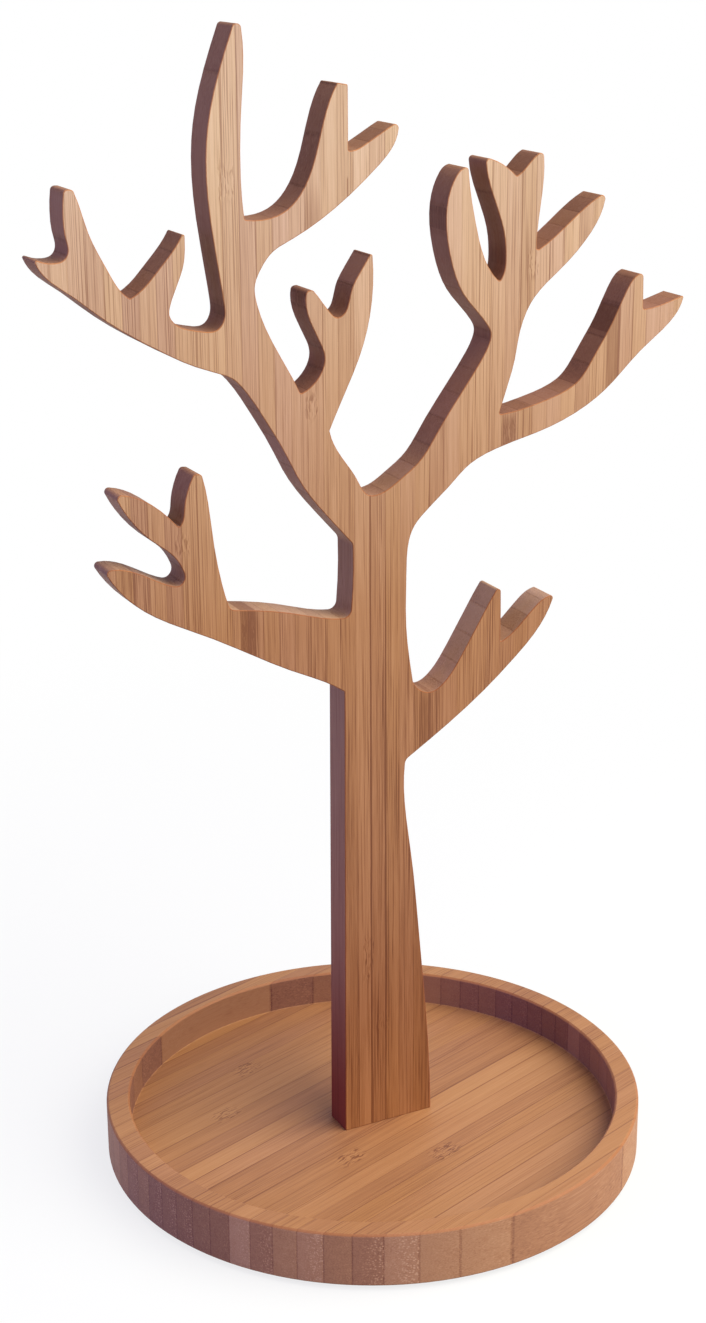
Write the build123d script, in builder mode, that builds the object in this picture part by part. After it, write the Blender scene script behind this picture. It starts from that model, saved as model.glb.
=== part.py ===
from build123d import *
import os

os.makedirs("parts", exist_ok=True)

# A free-standing jewellery tree. A flat bamboo board is sawn to a bare tree and stands
# on edge in the middle of a round bamboo tray, held by two screws from below.
# Millimetres. The origin is the tray's axis on the table top, +Z is up and the tree's
# broad front face looks along -Y.

# ---- tray: one disc of edge-glued bamboo with a recess routed into its top ----
tray_radius = 85.0
tray_height = 17.3
tray_floor = 6.0          # wood left under the recess
tray_rim = 7.4            # width of the rim round the recess
tray_edge_ease = 0.6      # eased edges of the rim and of the underside

# ---- tree: one edge-glued board ----
tree_height = 341.2       # from the foot to the highest corner, before it is rounded
tree_place = -0.4         # the drawing's zero line, from the tray's axis
plate_thickness = 10.2
tip_radius = 1.2          # rounded branch tips
slim_tip_radius = 0.95    # tips of the narrow branches
sharp_tip_radius = 0.5    # the tips that run out to a point
fork_radius = 0.6         # tight forks between two branches
bend_radius = 2.6         # wide inner corners where a branch leaves the trunk

# ---- two countersunk wood screws, up through the tray floor into the trunk ----
screw_diameter = 4.0
screw_length = 28.0
screw_point = 5.0         # length of the tapered point
screw_head_diameter = 7.6
screw_head_flat = 0.6     # straight rim of the head
screw_sink = 0.3          # depth of the head below the tray's underside
screw_spacing = 17.0
screw_hole_clearance = 0.4
drive_width = 1.2         # arms of the cross recess
drive_span = 4.4
drive_depth = 2.0

# ---- four self-adhesive felt pads under the tray ----
pad_count = 4
pad_diameter = 14.0
pad_thickness = 1.5
pad_inset = 9.0           # from the tray's outer edge to the pad's

# Heights that follow from the sizes above.
tray_bottom = pad_thickness
foot_height = tray_bottom + tray_floor

# The drawing of the saw's path round the tree, clockwise from the left corner of the foot
# as seen from the front: x across the tree from the drawing's zero line, z up from the
# foot. Each run goes from one corner to the next, and the radius after it is that of its
# last corner. The whole outline follows the tree's height.
drawn_path = [
    # trunk, left side
    ([(-11.8, 0), (-11.0, 149.0)], fork_radius),
    # low left branch, underside out to the lowest finger
    ([(-11.0, 149.0), (-16, 152.3), (-27, 157.8), (-55, 173.3), (-76, 185.6), (-80.4, 190.1),
      (-84.9, 196.9)], tip_radius),
    # back along the lowest finger, round the gap and out along the middle finger
    ([(-84.9, 196.9), (-80.5, 196.9), (-77, 195.9), (-65.5, 190.1), (-62.6, 189.7),
      (-61.1, 191.4), (-61.6, 194.3), (-63.8, 198.0), (-70, 203.3), (-78.5, 213.2),
      (-80.9, 218.1)], tip_radius),
    ([(-80.9, 218.1), (-78.2, 217.8), (-75.2, 216.9), (-62.3, 206.5)], fork_radius),
    # the upright finger
    ([(-62.3, 206.5), (-61.0, 208.5), (-60.5, 212), (-59.3, 217), (-57.3, 221.2)], tip_radius),
    ([(-57.3, 221.2), (-55.0, 220.9)], tip_radius),
    ([(-55.0, 220.9), (-53.9, 216.5), (-52.1, 202.5), (-50, 189.8), (-47.3, 180.0)],
     bend_radius),
    # low left branch, top side, and the trunk above it
    ([(-47.3, 180.0), (-39.5, 178.8), (-28, 176.2), (-16, 172.7), (-8.9, 171.9)], bend_radius),
    ([(-8.9, 171.9), (-7.9, 188), (-8.0, 194.3)], bend_radius),
    # left limb, underside out to its lowest tip
    ([(-8.0, 194.3), (-16.0, 203.4), (-24.4, 214.4), (-29.5, 224.2), (-35.4, 234.2),
      (-42.0, 243.9), (-45.2, 246.9), (-48, 248.2), (-56, 251.2), (-65, 255.8), (-83, 267.3),
      (-91, 273.7), (-98.6, 280), (-100.6, 284.0)], sharp_tip_radius),
    ([(-100.6, 284.0), (-97.5, 282.8), (-94.5, 282.5), (-92.3, 283.1), (-91.1, 284.9),
      (-91.5, 288.5), (-92.0, 296.0), (-91.4, 301.2)], tip_radius),
    ([(-91.4, 301.2), (-88.9, 301.1)], tip_radius),
    ([(-88.9, 301.1), (-87.5, 297.5), (-85, 289.3), (-80, 279.1), (-77, 274), (-74.2, 271.4)],
     fork_radius),
    # short branch of the left limb
    ([(-74.2, 271.4), (-71, 273.3), (-65.3, 279), (-62.3, 282.2), (-58.0, 288.6)],
     sharp_tip_radius),
    # round the wide gap and up the tallest branch
    ([(-58.0, 288.6), (-57.9, 284), (-58.4, 279.5), (-62.7, 268.5), (-63.0, 266), (-61.5, 263.6),
      (-55, 261.0), (-48.7, 261.0), (-47.1, 263.3), (-47.0, 268), (-51.2, 300), (-50.6, 314),
      (-44.4, 335.8), (-42.3, 341.2)], tip_radius),
    ([(-42.3, 341.2), (-40.2, 340.9)], tip_radius),
    ([(-40.2, 340.9), (-39.6, 335), (-40.6, 318), (-41.1, 306), (-40.6, 293), (-40.2, 289.9)],
     fork_radius),
    # the blunt branch over the middle, and its side tip
    ([(-40.2, 289.9), (-35, 289.5), (-28, 291.4), (-22.3, 297.2), (-16.1, 315), (-11.9, 324.6)],
     sharp_tip_radius),
    ([(-11.9, 324.6), (-8.7, 324.1)], sharp_tip_radius),
    ([(-8.7, 324.1), (-8.7, 306.4)], fork_radius),
    ([(-8.7, 306.4), (-6.5, 306.5), (-3.5, 307.8), (2.5, 311.2), (7.1, 313.5)], tip_radius),
    # back along its underside, round the bay and down into the fork of the left limb
    ([(7.1, 313.5), (6.4, 309), (0, 301.2), (-27, 283.2), (-32, 280.6), (-35.5, 276.5),
      (-37.6, 271.5), (-37.2, 267.5), (-28.4, 248.4), (-24.2, 240.3)], fork_radius),
    # the small forked branch
    ([(-24.2, 240.3), (-21.5, 241.6), (-16.5, 250), (-17.8, 254), (-22.2, 265), (-21.9, 269.0)],
     tip_radius),
    ([(-21.9, 269.0), (-20.0, 269.2)], tip_radius),
    ([(-20.0, 269.2), (-17.6, 266.3), (-14.5, 262.3), (-12.4, 260.8), (-10.3, 261.7),
      (-8.9, 264.5), (-7.8, 268.5), (-6, 271.8), (-1.4, 278.6)], sharp_tip_radius),
    ([(-1.4, 278.6), (-1.0, 271), (-5.0, 250.2), (-10.2, 239), (-15.2, 228.7)], fork_radius),
    # down into the main fork and up the left side of the right limb
    ([(-15.2, 228.7), (-14.2, 225.5), (-11.6, 220.9), (-6.6, 213.6), (-2.3, 208.1), (0, 208.0),
      (8, 211.9), (14.2, 216.5), (19.7, 224), (34.3, 244), (36.9, 248.6), (37.5, 251.5),
      (36, 254.6), (28.2, 263.8), (23.8, 274.5), (25, 296.8), (26.7, 298.9), (29.4, 299.8)],
     slim_tip_radius),
    ([(29.4, 299.8), (30, 294), (32.2, 283), (36.6, 270.7), (40.2, 266.5)], fork_radius),
    # the two-tipped branch beside it
    ([(40.2, 266.5), (41.6, 269), (42.1, 274), (41.6, 279.5), (35.8, 296.5), (35.0, 302.1)],
     tip_radius),
    ([(35.0, 302.1), (38.2, 301.1), (45.3, 296.2)], fork_radius),
    ([(45.3, 296.2), (47.7, 297.8), (51.3, 301.3), (54.2, 302.7)], tip_radius),
    ([(54.2, 302.7), (54.5, 296), (53.1, 284), (52.5, 274.4)], fork_radius),
    # right limb, short branch
    ([(52.5, 274.4), (56, 276.3), (65, 283), (76.0, 289.7)], tip_radius),
    ([(76.0, 289.7), (75.0, 285.0), (70, 277), (61, 268.5), (51.2, 259.7), (49.1, 256),
      (47.1, 250), (45.9, 243.5), (43.6, 235.8), (40.6, 227.2)], fork_radius),
    # right limb, long branch with two tips
    ([(40.6, 227.2), (45, 227.5), (55, 229.4), (64, 232.1), (67.6, 234.1), (73.3, 241.3),
      (79.6, 251), (84.8, 261), (86.8, 263.6), (90.2, 265.1)], tip_radius),
    ([(90.2, 265.1), (90.5, 254.0)], fork_radius),
    ([(90.5, 254.0), (94, 254.2), (97.5, 254.9), (105.2, 257.0)], sharp_tip_radius),
    # right limb, underside down to the trunk
    ([(105.2, 257.0), (103.4, 252.6), (100.7, 249.5), (90.3, 241.6), (79.2, 231.8), (56, 220.8),
      (38, 216.4), (30, 212.7), (25, 208.3), (15.5, 200.3), (12.6, 197.2), (9.8, 183),
      (9.8, 166), (12.1, 148.3)], fork_radius),
    # low right branch, top side with its two tips
    ([(12.1, 148.3), (15.7, 144.5), (18.2, 143.9), (23, 146.3), (28.3, 153), (34.5, 163),
      (42.3, 174.9)], slim_tip_radius),
    ([(42.3, 174.9), (42.5, 168), (42.4, 155.9)], fork_radius),
    ([(42.4, 155.9), (46, 157.8), (54, 164.9), (57, 167.2), (61.5, 168.4)], slim_tip_radius),
    # low right branch, underside, and the trunk's flared right side
    ([(61.5, 168.4), (56, 158.3), (48, 150.3), (38, 142), (9.6, 123.4)], bend_radius),
    ([(9.6, 123.4), (9.1, 116), (10.1, 103), (12.3, 87), (14.4, 66), (16.8, 41), (19.1, 0)],
     None),
]
drawn_height = max(z for points, corner_radius in drawn_path for x, z in points)
drawing_scale = tree_height / drawn_height
saw_path = [
    (
        [(tree_place + x * drawing_scale, foot_height + z * drawing_scale) for x, z in points],
        corner_radius,
    )
    for points, corner_radius in drawn_path
]
foot_left = saw_path[0][0][0]
foot_right = saw_path[-1][0][-1]
foot_middle = (foot_left[0] + foot_right[0]) / 2

# Screw places and heights.
screw_places = [foot_middle - screw_spacing / 2, foot_middle + screw_spacing / 2]
screw_base = tray_bottom + screw_sink
screw_tip = screw_base + screw_length
head_cone = (screw_head_diameter - screw_diameter) / 2
countersink_radius = screw_head_diameter / 2 + screw_sink + screw_head_flat

with BuildPart() as bamboo_tree:
    with BuildSketch(Plane.XZ.offset(-plate_thickness / 2)) as tree_face:
        with BuildLine():
            for run, corner_radius in saw_path:
                if len(run) == 2:
                    Line(run)
                else:
                    Spline(run)
            Line(foot_right, foot_left)
        make_face()
        for run, corner_radius in saw_path[:-1]:
            corner = tree_face.vertices().sort_by_distance(run[-1])[0]
            fillet(corner, corner_radius)
    extrude(amount=plate_thickness)
    with Locations(*[Plane((x, 0, foot_height), z_dir=(0, 0, -1)) for x in screw_places]):
        Hole(screw_diameter / 2, depth=screw_tip - foot_height)
bamboo_tree.part.label = "bamboo_tree"
export_step(bamboo_tree.part, "parts/bamboo_tree.step")

with BuildPart() as tray:
    with BuildSketch(Plane.XY.offset(tray_bottom)):
        Circle(tray_radius)
    extrude(amount=tray_height)
    with BuildSketch(Plane.XY.offset(foot_height)):
        Circle(tray_radius - tray_rim)
    extrude(amount=tray_height - tray_floor, mode=Mode.SUBTRACT)
    rim_edges = tray.edges().group_by(Axis.Z)[-1]
    foot_edge = tray.edges().group_by(Axis.Z)[0]
    chamfer(rim_edges + foot_edge, tray_edge_ease)
    with Locations(*[Plane((x, 0, tray_bottom), z_dir=(0, 0, -1)) for x in screw_places]):
        CounterSinkHole(
            radius=(screw_diameter + screw_hole_clearance) / 2,
            counter_sink_radius=countersink_radius,
            counter_sink_angle=90,
        )
tray.part.label = "tray"
export_step(tray.part, "parts/tray.step")

for name, screw_x in zip(("left_screw", "right_screw"), screw_places):
    with BuildPart() as screw:
        with BuildSketch(Plane.XZ.shift_origin((screw_x, 0, 0))):
            with BuildLine():
                Polyline(
                    (0, screw_base),
                    (screw_head_diameter / 2, screw_base),
                    (screw_head_diameter / 2, screw_base + screw_head_flat),
                    (screw_diameter / 2, screw_base + screw_head_flat + head_cone),
                    (screw_diameter / 2, screw_tip - screw_point),
                    (0, screw_tip),
                    close=True,
                )
            make_face()
        revolve(axis=Axis((screw_x, 0, 0), (0, 0, 1)))
        with BuildSketch(Plane.XY.offset(screw_base)):
            with Locations((screw_x, 0)):
                Rectangle(drive_span, drive_width)
                Rectangle(drive_width, drive_span)
        extrude(amount=drive_depth, mode=Mode.SUBTRACT)
    screw.part.label = name
    export_step(screw.part, f"parts/{name}.step")

pad_circle_radius = tray_radius - pad_inset - pad_diameter / 2
with PolarLocations(pad_circle_radius, pad_count, start_angle=180 / pad_count) as pad_ring:
    pad_places = pad_ring.locations
for number, place in enumerate(pad_places, start=1):
    with BuildPart() as felt_pad:
        with BuildSketch(Plane(place.position)):
            Circle(pad_diameter / 2)
        extrude(amount=pad_thickness)
    felt_pad.part.label = f"felt_pad_{number}"
    export_step(felt_pad.part, f"parts/felt_pad_{number}.step")
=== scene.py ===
import math

import bmesh
import bpy
from mathutils import Matrix, Vector


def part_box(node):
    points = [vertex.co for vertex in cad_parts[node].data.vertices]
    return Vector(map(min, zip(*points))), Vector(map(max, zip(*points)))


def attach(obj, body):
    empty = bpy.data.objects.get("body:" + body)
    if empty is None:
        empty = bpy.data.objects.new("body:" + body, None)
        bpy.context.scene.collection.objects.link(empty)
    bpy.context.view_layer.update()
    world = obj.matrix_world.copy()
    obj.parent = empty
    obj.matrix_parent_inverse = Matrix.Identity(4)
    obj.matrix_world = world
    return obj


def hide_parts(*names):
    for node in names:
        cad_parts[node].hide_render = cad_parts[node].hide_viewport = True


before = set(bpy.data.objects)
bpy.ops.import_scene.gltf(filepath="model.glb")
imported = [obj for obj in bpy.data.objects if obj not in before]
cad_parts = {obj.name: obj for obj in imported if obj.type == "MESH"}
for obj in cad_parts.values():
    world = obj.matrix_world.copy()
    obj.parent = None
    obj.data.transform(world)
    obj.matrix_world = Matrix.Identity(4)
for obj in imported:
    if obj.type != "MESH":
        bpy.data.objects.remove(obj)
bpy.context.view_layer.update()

scene = bpy.context.scene


# ---------------------------------------------------------------- the round tray
# A disc of solid carbonised bamboo, glued up from strips 6.7 mm wide that run 19 degrees
# off the tree's face. Its recess is routed and all its edges are eased by sanding. The
# tree stands in its middle, held by two screws from below.

# the grain is measured in millimetres, here and in the tree, and the shapes are in metres
tray_strip = 6.7
tray_grain_turn = math.radians(19)
tray_glue_start = 0.44
tray_floor = 0.006
tray_edge_ease = 0.0006
tray_edge_round = 0.00022


def add_node(tree, kind, inputs=(), **settings):
    """One shader node, with its settings and its inputs, which are values or other sockets."""
    made = tree.nodes.new(kind)
    for name, value in settings.items():
        setattr(made, name, value)
    for socket, value in dict(inputs).items():
        if isinstance(value, bpy.types.NodeSocket):
            tree.links.new(value, made.inputs[socket])
        else:
            made.inputs[socket].default_value = value
    return made


def calc(tree, operation, *values, clamp=False):
    """One step of arithmetic on numbers or sockets."""
    step = add_node(tree, "ShaderNodeMath", enumerate(values), operation=operation)
    step.use_clamp = clamp
    return step.outputs[0]


def weighed(tree, start, *parts):
    """Start with the parts added: each is a value, its own middle value and its weight."""
    total = start
    for part, middle_value, weight in parts:
        total = calc(tree, "ADD", total,
                     calc(tree, "MULTIPLY", calc(tree, "SUBTRACT", part, middle_value), weight))
    return total


def ease(tree, value, low, high, low_out=0.0, high_out=1.0):
    """A soft step of value between low and high."""
    step = add_node(tree, "ShaderNodeMapRange",
                    {"Value": value, "From Min": low, "From Max": high,
                     "To Min": low_out, "To Max": high_out},
                    interpolation_type="SMOOTHSTEP")
    return step.outputs[0]


def shade_ramp(tree, value, stops):
    """The colour that goes with a value. The stops are values with their colours, in order."""
    ramp = add_node(tree, "ShaderNodeValToRGB", {"Fac": value})
    steps = ramp.color_ramp.elements
    for step, (place, colour) in ((steps[0], stops[0]), (steps[1], stops[-1])):
        step.position = place
        step.color = (*colour, 1)
    for place, colour in stops[1:-1]:
        steps.new(place).color = (*colour, 1)
    return ramp.outputs["Color"]


def mixed(tree, share, colour, other, blend="MIX"):
    """Two colours mixed, which a mix node has in its inputs 6 and 7 and gives as output 2."""
    return add_node(tree, "ShaderNodeMix", {0: share, 6: colour, 7: other},
                    data_type="RGBA", blend_type=blend).outputs[2]


def point(tree, x, y, z):
    """A point in the grain's own space."""
    return add_node(tree, "ShaderNodeCombineXYZ", {"X": x, "Y": y, "Z": z}).outputs[0]


def streaks(tree, along, across, depth, length, width, detail=2.0, rough=0.5):
    """Noise that is drawn out along the grain."""
    place = point(tree, calc(tree, "MULTIPLY", along, 1 / length),
                  calc(tree, "MULTIPLY", across, 1 / width),
                  calc(tree, "MULTIPLY", depth, 1 / width))
    return add_node(tree, "ShaderNodeTexNoise",
                    {"Vector": place, "Scale": 1.0, "Detail": detail, "Roughness": rough}
                    ).outputs["Fac"]


def bamboo_marks(tree, along, across, marks):
    """How strongly the marks show at a point.

    Each mark has its middle and half its length along the grain, its middle and half its
    width across it, and its strength.
    """
    total = 0.0
    for middle, half_length, place, half_width, strength in marks:
        away = calc(tree, "ABSOLUTE", calc(tree, "SUBTRACT", along, middle))
        aside = calc(tree, "ABSOLUTE", calc(tree, "SUBTRACT", across, place))
        length_mask = ease(tree, away, half_length * 0.35, half_length, strength, 0.0)
        width_mask = ease(tree, aside, half_width * 0.86, half_width, 1.0, 0.0)
        total = calc(tree, "ADD", total, calc(tree, "MULTIPLY", length_mask, width_mask))
    return total


def laminated_bamboo(name, turn, strip, glue_start, pale, middle, dark, strip_contrast,
                     streak_contrast, line_depth, glue_depth, rough, shine, speckle,
                     knots=(), toned_strips=(), tints_and_painted_light=(), fibre_fade=(), seed=0.0):
    """Carbonised bamboo strips glued side by side, solid all the way through.

    turn brings the object's axes to along, across and depth. All sizes are in millimetres.
    knots and toned_strips are marks, and a toned strip is paler where its strength is negative.
    The tints by height are places along the grain, each with the colour that tints the bamboo there;
    mostly they are painted light and shade.
    fibre_fade is two places along the grain and how strongly the fibres show at each.
    """
    material = bpy.data.materials.new(name)
    material.use_nodes = True
    tree = material.node_tree
    shader = tree.nodes["Principled BSDF"]
    place = add_node(tree, "ShaderNodeTexCoord").outputs["Object"]
    grain = add_node(tree, "ShaderNodeMapping",
                     {"Vector": place, "Rotation": turn, "Scale": (1000, 1000, 1000)})
    axes = add_node(tree, "ShaderNodeSeparateXYZ", {"Vector": grain.outputs[0]}).outputs
    along, across, depth = axes["X"], axes["Y"], axes["Z"]

    # the fibres wander a little, and knots pull them aside
    knot = bamboo_marks(tree, along, across, knots)
    drift = streaks(tree, along, across, depth, length=90.0, width=14.0)
    swirl = streaks(tree, along, across, depth, length=5.0, width=2.2, detail=3.0)
    pull = calc(tree, "MULTIPLY", calc(tree, "SUBTRACT", swirl, 0.5), knot)
    bent = calc(tree, "ADD", across, weighed(tree, 0.0, (drift, 0.5, 1.2), (pull, 0.0, 2.2)))

    # each strip has a tone of its own, and is cut from another length of bamboo
    lane_place = calc(tree, "DIVIDE", calc(tree, "SUBTRACT", across, glue_start), strip)
    lane = calc(tree, "FLOOR", lane_place)
    in_lane = calc(tree, "FRACT", lane_place)
    lane_tone, lane_other = (
        add_node(tree, "ShaderNodeTexWhiteNoise", {"W": calc(tree, "ADD", lane, draw + seed)},
                 noise_dimensions="1D").outputs["Value"]
        for draw in (0.37, 31.7))
    shifted = calc(tree, "ADD", along, calc(tree, "MULTIPLY", lane_other, 400.0))

    # fibres: broad bands, streaks, fine grain, and thin dark lines that come in groups
    broad = streaks(tree, shifted, bent, depth, length=170.0, width=2.6, detail=1.0)
    band = streaks(tree, shifted, bent, depth, length=70.0, width=0.75)
    fine = streaks(tree, shifted, bent, depth, length=18.0, width=0.33, rough=0.7)
    group = streaks(tree, shifted, bent, depth, length=210.0, width=5.5, detail=1.0)
    line = streaks(tree, shifted, bent, depth, length=50.0, width=0.34, detail=1.0)
    bunched = calc(tree, "MULTIPLY", ease(tree, group, 0.38, 0.62), 0.8)
    lines = calc(tree, "MULTIPLY", ease(tree, line, 0.53, 0.61), calc(tree, "ADD", 0.3, bunched))
    fibres = weighed(tree, 0.0, (broad, 0.5, streak_contrast * 0.8),
                     (band, 0.5, streak_contrast * 0.75), (fine, 0.5, streak_contrast * 2.1),
                     (lines, 0.2, line_depth))
    if fibre_fade:
        fibres = calc(tree, "MULTIPLY", fibres, ease(tree, along, *fibre_fade))

    # bundles of fibres, paler dots on the end grain of some strips
    bundle = add_node(tree, "ShaderNodeTexVoronoi",
                      {"Vector": point(tree, calc(tree, "MULTIPLY", shifted, 0.05),
                                       calc(tree, "MULTIPLY", bent, 1.6),
                                       calc(tree, "MULTIPLY", depth, 1.6)),
                       "Scale": 1.0, "Randomness": 1.0}).outputs["Distance"]
    crowd = calc(tree, "MULTIPLY", ease(tree, in_lane, 0.0, 0.9, 0.1, 1.0),
                 ease(tree, lane_other, 0.15, 0.6, 0.25, 1.0))
    dots = calc(tree, "MULTIPLY", ease(tree, bundle, 0.15, 0.5, 1.0, 0.0), crowd)

    # the thin glue lines, some stronger than others
    from_glue = calc(tree, "MULTIPLY",
                     calc(tree, "MINIMUM", in_lane, calc(tree, "SUBTRACT", 1.0, in_lane)), strip)
    glue_strength = streaks(tree, along, lane, depth, length=120.0, width=0.37)
    glue = calc(tree, "MULTIPLY", ease(tree, from_glue, 0.08, 0.30, 1.0, 0.0),
                ease(tree, glue_strength, 0.3, 0.7, 0.25, 1.0))

    # all of it makes the tone, from pale at 0 to dark at 1, and knots are dashed along the grain
    middle_tone = 0.5
    toned = bamboo_marks(tree, along, across, toned_strips)
    tone = weighed(tree, fibres, (lane_tone, 0.5, strip_contrast), (dots, 0.15, -speckle),
                   (glue, 0.0, glue_depth), (toned, 0.0, 1.0))
    tone = calc(tree, "ADD", tone, middle_tone)
    dash = streaks(tree, along, bent, depth, length=3.4, width=0.42, detail=1.0)
    dashes = calc(tree, "MULTIPLY", knot, ease(tree, dash, 0.5, 0.6, -0.08, 0.4))
    tone = calc(tree, "ADD", tone, dashes)
    colour = shade_ramp(tree, tone, [(0.0, pale), (middle_tone, middle), (1.0, dark)])
    lane_hue = mixed(tree, lane_other, (1.03, 1.02, 0.92, 1), (0.99, 0.97, 1.02, 1))
    colour = mixed(tree, 1.0, colour, lane_hue, "MULTIPLY")
    # painted light and shade by height along the grain multiply the colour
    if tints_and_painted_light:
        reach = tints_and_painted_light[-1][0]
        tint = shade_ramp(tree, calc(tree, "DIVIDE", along, reach),
                          [(height / reach, shade) for height, shade in tints_and_painted_light])
        colour = mixed(tree, 1.0, colour, tint, "MULTIPLY")
    tree.links.new(colour, shader.inputs["Base Color"])

    relief = calc(tree, "ADD", calc(tree, "MULTIPLY", fine, 0.6),
                  calc(tree, "SUBTRACT", calc(tree, "MULTIPLY", dots, -0.5), glue))
    bump = add_node(tree, "ShaderNodeBump",
                    {"Height": relief, "Strength": 0.35, "Distance": 0.00012})
    tree.links.new(bump.outputs[0], shader.inputs["Normal"])
    tree.links.new(weighed(tree, rough, (band, 0.5, 0.25)), shader.inputs["Roughness"])
    shader.inputs["Specular IOR Level"].default_value = shine
    return material


def whole_copy(node):
    """A bmesh of a CAD node with its loose triangles joined and its flat faces made one."""
    mesh = bmesh.new()
    mesh.from_mesh(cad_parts[node].data)
    bmesh.ops.remove_doubles(mesh, verts=mesh.verts, dist=1e-6)
    bmesh.ops.dissolve_limit(mesh, angle_limit=0.002, verts=mesh.verts, edges=mesh.edges,
                             delimit={"NORMAL"})
    return mesh


def sharp_edges(mesh, least_degrees):
    """The edges whose two faces meet at more than so many degrees."""
    return [edge for edge in mesh.edges if len(edge.link_faces) == 2
            and math.degrees(edge.calc_face_angle()) > least_degrees]


def finish_piece(mesh, name, finishes, replaced):
    """Turns a bmesh into a smooth-shaded piece that stands for CAD nodes."""
    data = bpy.data.meshes.new(name)
    for face in mesh.faces:
        face.smooth = True
    mesh.to_mesh(data)
    mesh.free()
    piece = bpy.data.objects.new(name, data)
    scene.collection.objects.link(piece)
    for finish in finishes:
        data.materials.append(finish)
    even = piece.modifiers.new("even_normals", "WEIGHTED_NORMAL")
    even.weight = 100
    even.keep_sharp = False
    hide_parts(*replaced)
    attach(piece, "root")


# the knots, and the strips that are darker or paler than the rest
half_strip = tray_strip / 2
tray_knots = [(-8.0, 7.0, -50.6, 3.2, 1.3), (-0.5, 7.0, 31.6, 3.2, 1.6),
              (-23.5, 7.0, 13.0, 3.2, 1.6), (-32.6, 7.0, -34.4, 3.2, 1.2)]
tray_toned_strips = [(-25.0, 55.0, 23.9, half_strip, 0.08), (-20.0, 50.0, 30.6, half_strip, 0.07),
                     (-35.0, 55.0, 37.3, half_strip, 0.13), (-45.0, 50.0, 44.0, half_strip, 0.13),
                     (-10.0, 60.0, 50.7, half_strip, -0.12), (0.0, 60.0, 57.4, half_strip, -0.28),
                     (42.0, 45.0, 10.5, half_strip, -0.3), (42.0, 45.0, 17.2, half_strip, -0.3),
                     (-55.0, 40.0, -16.3, half_strip, -0.28), (-55.0, 40.0, -9.6, half_strip, -0.24)]
tray_strips = dict(turn=(math.pi, 0.0, tray_grain_turn), strip=tray_strip,
                   glue_start=tray_glue_start)
tray_board = laminated_bamboo(
    "tray_bamboo", **tray_strips, pale=(0.51, 0.255, 0.097), middle=(0.395, 0.178, 0.062),
    dark=(0.205, 0.075, 0.028), strip_contrast=0.27, streak_contrast=0.30, line_depth=0.26,
    glue_depth=0.42, rough=0.52, shine=0.3, speckle=0.05, knots=tray_knots,
    toned_strips=tray_toned_strips)
tray_wall = laminated_bamboo(
    "tray_turned_wall", **tray_strips, pale=(0.65, 0.38, 0.20), middle=(0.43, 0.205, 0.096),
    dark=(0.19, 0.07, 0.038), strip_contrast=0.42, streak_contrast=0.2, line_depth=0.1,
    glue_depth=0.3, rough=0.6, shine=0.2, speckle=0.45)
# the routed inner wall is darker than the board: painted shade of the recess
tray_routed_painted_shade = laminated_bamboo(
    "tray_routed_wall_painted_shade", **tray_strips, pale=(0.42, 0.22, 0.11), middle=(0.32, 0.15, 0.075),
    dark=(0.15, 0.055, 0.035), strip_contrast=0.4, streak_contrast=0.2, line_depth=0.1,
    glue_depth=0.3, rough=0.65, shine=0.15, speckle=0.25)
# the slanting rim edge gets a stronger orange: a painted highlight
tray_edge_painted_highlight = laminated_bamboo(
    "tray_sanded_edge_painted_highlight", **tray_strips, pale=(0.46, 0.20, 0.075), middle=(0.37, 0.145, 0.048),
    dark=(0.25, 0.085, 0.028), strip_contrast=0.4, streak_contrast=0.2, line_depth=0.1,
    glue_depth=0.3, rough=0.55, shine=0.25, speckle=0.1)
tray_finishes = [tray_board, tray_wall, tray_routed_painted_shade, tray_edge_painted_highlight]

tray_mesh = whole_copy("tray")
bmesh.ops.bevel(tray_mesh, geom=sharp_edges(tray_mesh, least_degrees=30), offset=tray_edge_round,
                offset_type="OFFSET", segments=2, profile=0.5, affect="EDGES", material=-1)

# what is upright is the turned wall outside and the routed wall inside, painted darker as
# shade of the recess, and what slants at the rim is its sanded edge, painted as a highlight
tray_low, tray_high = (Vector(corner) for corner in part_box("tray"))
margin = 0.0002
wall_from_radius = tray_high.x - tray_edge_ease - margin
wall_from_height = tray_low.z + tray_floor + margin
edge_from_height = tray_high.z - tray_edge_ease - margin
for face in tray_mesh.faces:
    middle = face.calc_center_median()
    upright = abs(face.normal.z) < 0.4
    slanting = abs(face.normal.z) < 0.95
    if upright and middle.xy.length > wall_from_radius:
        face.material_index = tray_finishes.index(tray_wall)
    elif upright and middle.z > wall_from_height:
        face.material_index = tray_finishes.index(tray_routed_painted_shade)
    elif slanting and middle.z > edge_from_height:
        face.material_index = tray_finishes.index(tray_edge_painted_highlight)
finish_piece(tray_mesh, "round_tray", tray_finishes, ["tray"])


# ---------------------------------------------------------------- the tree
# A flat board of the same bamboo, 10.2 mm thick, its strips upright and 5 mm wide. The
# outline is sawn and leaves the sides darker than the sanded faces, and painted shade darkens
# them further. A light sanding breaks both arrises, which carry a painted highlight. It stands
# on edge in the tray, glued and screwed from below.

tree_strip = 4.95
tree_glue_start = 2.2
arris_round = 0.00024

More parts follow.
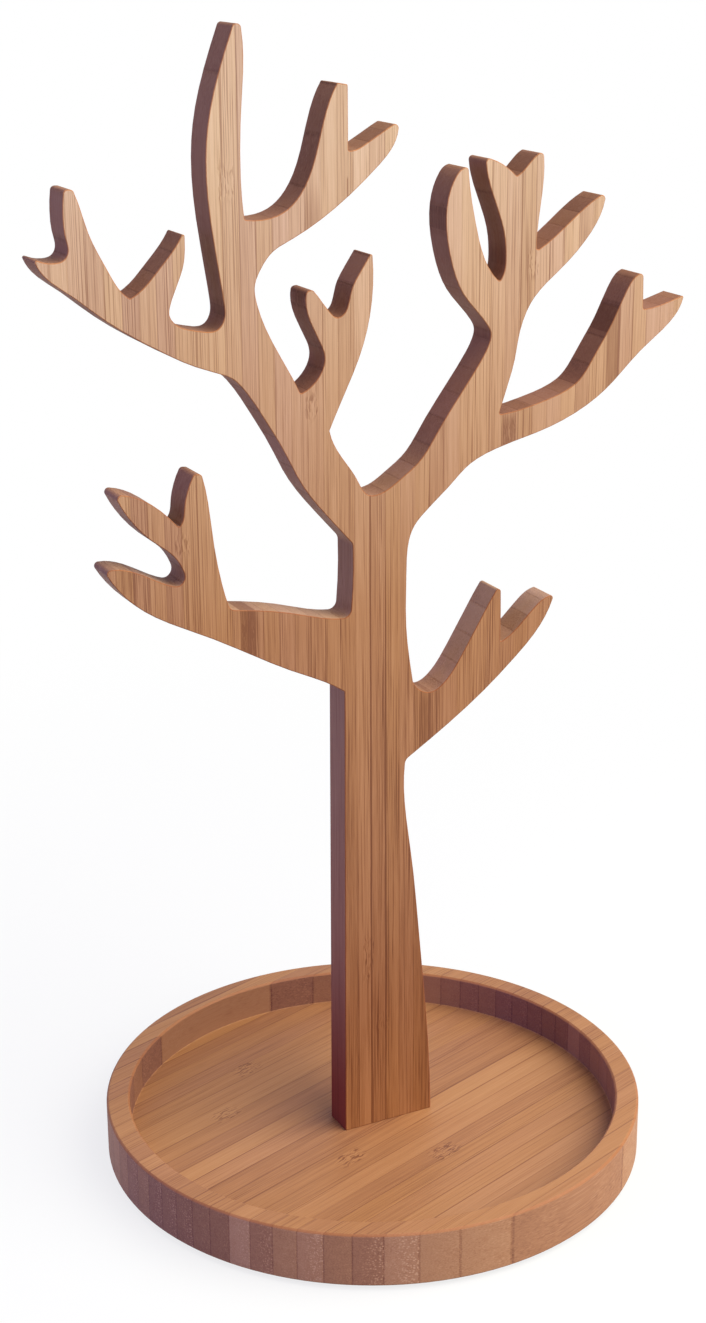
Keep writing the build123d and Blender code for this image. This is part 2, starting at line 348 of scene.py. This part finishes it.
# the narrowest of the toned strips are single dark glue lines
tree_knots = [(209.0, 4.5, -61.9, 2.4, 0.8), (43.5, 5.0, 1.1, 2.4, 0.6),
              (66.5, 11.0, -3.9, 2.0, 1.0), (307.5, 7.0, -45.9, 2.6, 0.6),
              (278.0, 5.5, 51.1, 2.0, 0.8), (244.0, 5.5, -21.4, 2.2, 0.8),
              (228.0, 6.0, 43.9, 2.3, 1.0), (179.0, 9.0, -42.3, 2.4, 0.7)]
tree_toned_strips = [(180.0, 18.0, -42.3, 2.6, 0.50), (141.0, 18.0, 16.1, 2.5, 0.34),
                     (228.0, 9.0, 43.9, 2.4, 0.44), (250.0, 24.0, 79.8, 2.5, 0.30),
                     (292.0, 16.0, -20.4, 2.5, 0.20), (303.5, 4.0, -9.4, 0.22, 0.9),
                     (205.0, 16.0, -78.2, 2.6, 0.26), (20.0, 150.0, 14.6, 2.4, 0.18),
                     (60.0, 130.0, -5.2, 2.4, -0.10), (80.0, 200.0, -2.75, 0.32, 0.8),
                     (110.0, 120.0, 2.3, 0.3, 0.7), (60.0, 90.0, -7.3, 0.26, 0.6)]
# painted light on the face: paler towards the top, darker and warmer towards the foot
face_painted_light = [(10.0, (0.52, 0.31, 0.17)), (50.0, (0.46, 0.26, 0.15)), (180.0, (0.62, 0.43, 0.28)),
               (250.0, (0.82, 0.71, 0.61)), (320.0, (0.97, 0.98, 0.98))]
# the sawn sides are somewhat darker by the cut and get painted shade, darkest at the foot
sawn_tints_and_painted_shade = [(20.0, (0.39, 0.12, 0.11)), (80.0, (0.64, 0.44, 0.40)), (185.0, (0.69, 0.61, 0.56)),
               (240.0, (0.44, 0.28, 0.23)), (330.0, (0.47, 0.335, 0.26))]
# the eased arrises carry a painted orange highlight
arris_painted_highlight_tints = [(20.0, (0.44, 0.18, 0.09)), (180.0, (0.54, 0.29, 0.15)), (310.0, (0.76, 0.49, 0.30))]
tree_strips = dict(turn=(math.radians(90), 0.0, math.radians(90)), strip=tree_strip,
                   glue_start=tree_glue_start, pale=(0.80, 0.58, 0.375),
                   middle=(0.63, 0.415, 0.235), dark=(0.35, 0.185, 0.095), seed=5.0)
tree_face = laminated_bamboo(
    "tree_bamboo", **tree_strips, strip_contrast=0.26, streak_contrast=0.36, line_depth=0.42,
    glue_depth=0.34, rough=0.5, shine=0.3, speckle=0.05, knots=tree_knots,
    toned_strips=tree_toned_strips, tints_and_painted_light=face_painted_light, fibre_fade=(90.0, 250.0, 1.9, 0.85))
# the sawn sides: the face's bamboo, darkened partly by the cut and partly by painted shade
tree_sawn_painted_shade = laminated_bamboo(
    "tree_sawn_side_painted_shade", **tree_strips, strip_contrast=0.42, streak_contrast=0.25, line_depth=0.15,
    glue_depth=0.3, rough=0.62, shine=0.15, speckle=0.2, toned_strips=tree_toned_strips,
    tints_and_painted_light=sawn_tints_and_painted_shade)
tree_arris_painted_highlight = laminated_bamboo(
    "tree_sanded_arris_painted_highlight", **tree_strips, strip_contrast=0.3, streak_contrast=0.2, line_depth=0.1,
    glue_depth=0.2, rough=0.55, shine=0.2, speckle=0.1, tints_and_painted_light=arris_painted_highlight_tints)
tree_finishes = [tree_face, tree_sawn_painted_shade, tree_arris_painted_highlight]

tree_mesh = whole_copy("bamboo_tree")
for face in tree_mesh.faces:
    on_board_face = abs(face.normal.y) > 0.9
    face.material_index = tree_finishes.index(tree_face if on_board_face else tree_sawn_painted_shade)
rounded = bmesh.ops.bevel(tree_mesh, geom=sharp_edges(tree_mesh, least_degrees=60),
                          offset=arris_round, offset_type="OFFSET", segments=3, profile=0.5,
                          affect="EDGES", material=-1)
# the bevelled arris faces take the painted highlight colour
for face in rounded["faces"]:
    face.material_index = tree_finishes.index(tree_arris_painted_highlight)
finish_piece(tree_mesh, "sawn_tree", tree_finishes, ["bamboo_tree"])


# ---------------------------------------------------------------- the wood screws
# Two countersunk wood screws of zinc-plated steel, driven up through the tray into the
# tree's foot. Only their heads show, from below. They are the CAD's own solids.

zinc = bpy.data.materials.new("zinc_plated_steel")
zinc.use_nodes = True
zinc_tree = zinc.node_tree
zinc_shader = zinc_tree.nodes["Principled BSDF"]
zinc_place = add_node(zinc_tree, "ShaderNodeTexCoord").outputs["Object"]
turning = add_node(zinc_tree, "ShaderNodeTexNoise",
                   {"Vector": zinc_place, "Scale": 2200.0, "Detail": 3.0}).outputs["Fac"]
clouding = add_node(zinc_tree, "ShaderNodeTexNoise",
                    {"Vector": zinc_place, "Scale": 420.0, "Detail": 2.0}).outputs["Fac"]
zinc_tone = shade_ramp(zinc_tree, clouding, [(0.3, (0.47, 0.48, 0.50)), (0.7, (0.66, 0.67, 0.68))])
zinc_tree.links.new(zinc_tone, zinc_shader.inputs["Base Color"])
zinc_shader.inputs["Metallic"].default_value = 1.0
zinc_rough = ease(zinc_tree, clouding, 0.3, 0.7, 0.28, 0.42)
zinc_tree.links.new(zinc_rough, zinc_shader.inputs["Roughness"])
zinc_bump = add_node(zinc_tree, "ShaderNodeBump",
                     {"Height": turning, "Strength": 0.2, "Distance": 0.00003})
zinc_tree.links.new(zinc_bump.outputs[0], zinc_shader.inputs["Normal"])

for name in ("left_screw", "right_screw"):
    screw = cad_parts[name]
    screw.data.materials.clear()
    screw.data.materials.append(zinc)


# ---------------------------------------------------------------- the felt pads
# Four self-adhesive discs of brown needle felt, 14 mm across and 1.5 mm thick, pressed
# onto the tray's underside. Their cut lower edge is worn soft.

felt = bpy.data.materials.new("brown_felt")
felt.use_nodes = True
felt_tree = felt.node_tree
felt_shader = felt_tree.nodes["Principled BSDF"]
felt_place = add_node(felt_tree, "ShaderNodeTexCoord").outputs["Object"]
fibres = add_node(felt_tree, "ShaderNodeTexNoise",
                  {"Vector": felt_place, "Scale": 1900.0, "Detail": 6.0, "Roughness": 0.72,
                   "Distortion": 1.6}).outputs["Fac"]
tufts = add_node(felt_tree, "ShaderNodeTexNoise",
                 {"Vector": felt_place, "Scale": 420.0, "Detail": 3.0}).outputs["Fac"]
felt_nap = calc(felt_tree, "ADD", calc(felt_tree, "MULTIPLY", fibres, 0.65),
                calc(felt_tree, "MULTIPLY", tufts, 0.35))
felt_tone = shade_ramp(felt_tree, felt_nap,
                       [(0.34, (0.055, 0.028, 0.016)), (0.66, (0.20, 0.115, 0.07))])
felt_tree.links.new(felt_tone, felt_shader.inputs["Base Color"])
felt_shader.inputs["Roughness"].default_value = 0.95
felt_shader.inputs["Specular IOR Level"].default_value = 0.1
felt_shader.inputs["Sheen Weight"].default_value = 0.35
felt_shader.inputs["Sheen Roughness"].default_value = 0.5
felt_bump = add_node(felt_tree, "ShaderNodeBump",
                     {"Height": fibres, "Strength": 0.8, "Distance": 0.00025})
felt_tree.links.new(felt_bump.outputs[0], felt_shader.inputs["Normal"])

pad_edge_round = 0.0004
for number in range(1, 5):
    node_name = f"felt_pad_{number}"
    low, high = (Vector(corner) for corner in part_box(node_name))
    centre = (low + high) / 2
    radius = (high.x - low.x) / 2
    thickness = high.z - low.z
    pad = bmesh.new()
    bmesh.ops.create_circle(pad, cap_ends=True, segments=64, radius=radius,
                            matrix=Matrix.Translation((centre.x, centre.y, high.z)))
    bmesh.ops.recalc_face_normals(pad, faces=pad.faces)
    base = bmesh.ops.extrude_face_region(pad, geom=pad.faces[:])
    moved = [item for item in base["geom"] if isinstance(item, bmesh.types.BMVert)]
    bmesh.ops.translate(pad, verts=moved, vec=(0, 0, -thickness))
    bmesh.ops.recalc_face_normals(pad, faces=pad.faces)
    rim = [edge for edge in pad.edges if all(vert.co.z < centre.z for vert in edge.verts)]
    bmesh.ops.bevel(pad, geom=rim, offset=pad_edge_round, offset_type="OFFSET", segments=4,
                    profile=0.5, affect="EDGES", material=-1)
    finish_piece(pad, f"felt_disc_{number}", [felt], [node_name])


# ---------------------------------------------------------------- the studio
# A plain pale floor under a white sky, one large soft lamp from the right front, a weak cool
# one from the left and an even cool fill. Seen by the camera the floor fades to white and
# keeps the object's soft shadow.

floor_radius = 1.6
fade_start, fade_end = 0.12, 0.55
lamp_distance = 1.8
lamp_aim = Vector((0, 0, 0.12))
camera_place = (-0.29086, -0.55799, 0.38449)
camera_azimuth, camera_tilt, camera_roll = 0.472, 0.339, -0.006  # in radians
camera_lens = 60.512


def seen_share(tree):
    """1 where the camera looks, also by way of metal or glass, and 0 where light only bounces."""
    path = add_node(tree, "ShaderNodeLightPath").outputs
    mirrored = calc(tree, "ADD", path["Is Glossy Ray"], path["Is Transmission Ray"])
    return calc(tree, "ADD", path["Is Camera Ray"], mirrored, clamp=True)


def soft_lamp(name, bearing, height, width, strength, colour):
    """A round lamp that faces the tree, with its bearing and height in degrees.

    A strength of 1 shows a colour that faces the lamp as it is written.
    """
    bearing, height = math.radians(bearing), math.radians(height)
    lamp_data = bpy.data.lights.new(name, "AREA")
    lamp_data.shape = "DISK"
    lamp_data.size = width
    lamp_data.color = colour
    lamp_data.energy = strength * math.pi ** 2 * (lamp_distance ** 2 + (width / 2) ** 2)
    lamp = bpy.data.objects.new(name, lamp_data)
    toward = Vector((math.cos(height) * math.cos(bearing), math.cos(height) * math.sin(bearing),
                     math.sin(height)))
    lamp.location = lamp_aim + toward * lamp_distance
    lamp.rotation_euler = toward.to_track_quat("Z", "Y").to_euler()
    scene.collection.objects.link(lamp)


floor_mesh = bmesh.new()
bmesh.ops.create_circle(floor_mesh, cap_ends=True, segments=96, radius=floor_radius)
floor_data = bpy.data.meshes.new("floor")
floor_mesh.to_mesh(floor_data)
floor_mesh.free()
floor = bpy.data.objects.new("floor", floor_data)
scene.collection.objects.link(floor)

pale = bpy.data.materials.new("pale_floor")
pale.use_nodes = True
pale_tree = pale.node_tree
pale_tree.nodes.remove(pale_tree.nodes["Principled BSDF"])
floor_place = add_node(pale_tree, "ShaderNodeTexCoord").outputs["Object"]
away = add_node(pale_tree, "ShaderNodeVectorMath", {0: floor_place}, operation="LENGTH")
fade = ease(pale_tree, away.outputs["Value"], fade_start, fade_end)
# the light bounces off a plain grey floor, and the camera sees one that glows nearly white
plain = add_node(pale_tree, "ShaderNodeBsdfDiffuse", {"Color": (0.42, 0.42, 0.42, 1)})
shaded = add_node(pale_tree, "ShaderNodeBsdfDiffuse", {"Color": (0.18, 0.18, 0.145, 1)})
glow = add_node(pale_tree, "ShaderNodeEmission", {"Color": (1, 1, 1, 1), "Strength": 0.79})
white = add_node(pale_tree, "ShaderNodeEmission", {"Color": (1, 1, 1, 1), "Strength": 1.0})
near = add_node(pale_tree, "ShaderNodeAddShader", {0: shaded.outputs[0], 1: glow.outputs[0]})
faded = add_node(pale_tree, "ShaderNodeMixShader",
                 {0: fade, 1: near.outputs[0], 2: white.outputs[0]})
floor_shader = add_node(pale_tree, "ShaderNodeMixShader",
                        {0: seen_share(pale_tree), 1: plain.outputs[0], 2: faded.outputs[0]})
pale_tree.links.new(floor_shader.outputs[0], pale_tree.nodes["Material Output"].inputs["Surface"])
floor_data.materials.append(pale)

world = bpy.data.worlds.new("studio")
scene.world = world
world.use_nodes = True
sky_tree = world.node_tree
fill = sky_tree.nodes["Background"]
fill.inputs["Color"].default_value = (0.95, 0.90, 1.75, 1)
fill.inputs["Strength"].default_value = 0.27
backdrop = add_node(sky_tree, "ShaderNodeBackground", {"Color": (1, 1, 1, 1), "Strength": 1.0})
sky = add_node(sky_tree, "ShaderNodeMixShader",
               {0: seen_share(sky_tree), 1: fill.outputs[0], 2: backdrop.outputs[0]})
sky_tree.links.new(sky.outputs[0], sky_tree.nodes["World Output"].inputs["Surface"])

soft_lamp("key_lamp", bearing=-45, height=46, width=2.4, strength=1.34, colour=(1.0, 1.0, 1.0))
soft_lamp("cool_side_lamp", bearing=178, height=12, width=1.4, strength=0.42,
          colour=(0.15, 0.17, 1.0))

camera_data = bpy.data.cameras.new("camera")
camera_data.sensor_fit = "VERTICAL"
camera_data.sensor_height = 36.0
camera_data.lens = camera_lens
camera = bpy.data.objects.new("camera", camera_data)
forward = Vector((math.sin(camera_azimuth) * math.cos(camera_tilt),
                  math.cos(camera_azimuth) * math.cos(camera_tilt), -math.sin(camera_tilt)))
level = Vector((math.cos(camera_azimuth), -math.sin(camera_azimuth), 0.0))
upward = level.cross(forward)
right = level * math.cos(camera_roll) + upward * math.sin(camera_roll)
up = upward * math.cos(camera_roll) - level * math.sin(camera_roll)
turned = Matrix((right, up, -forward)).transposed().to_4x4()
camera.matrix_world = Matrix.Translation(camera_place) @ turned
scene.collection.objects.link(camera)
scene.camera = camera
scene.view_settings.view_transform = "Standard"
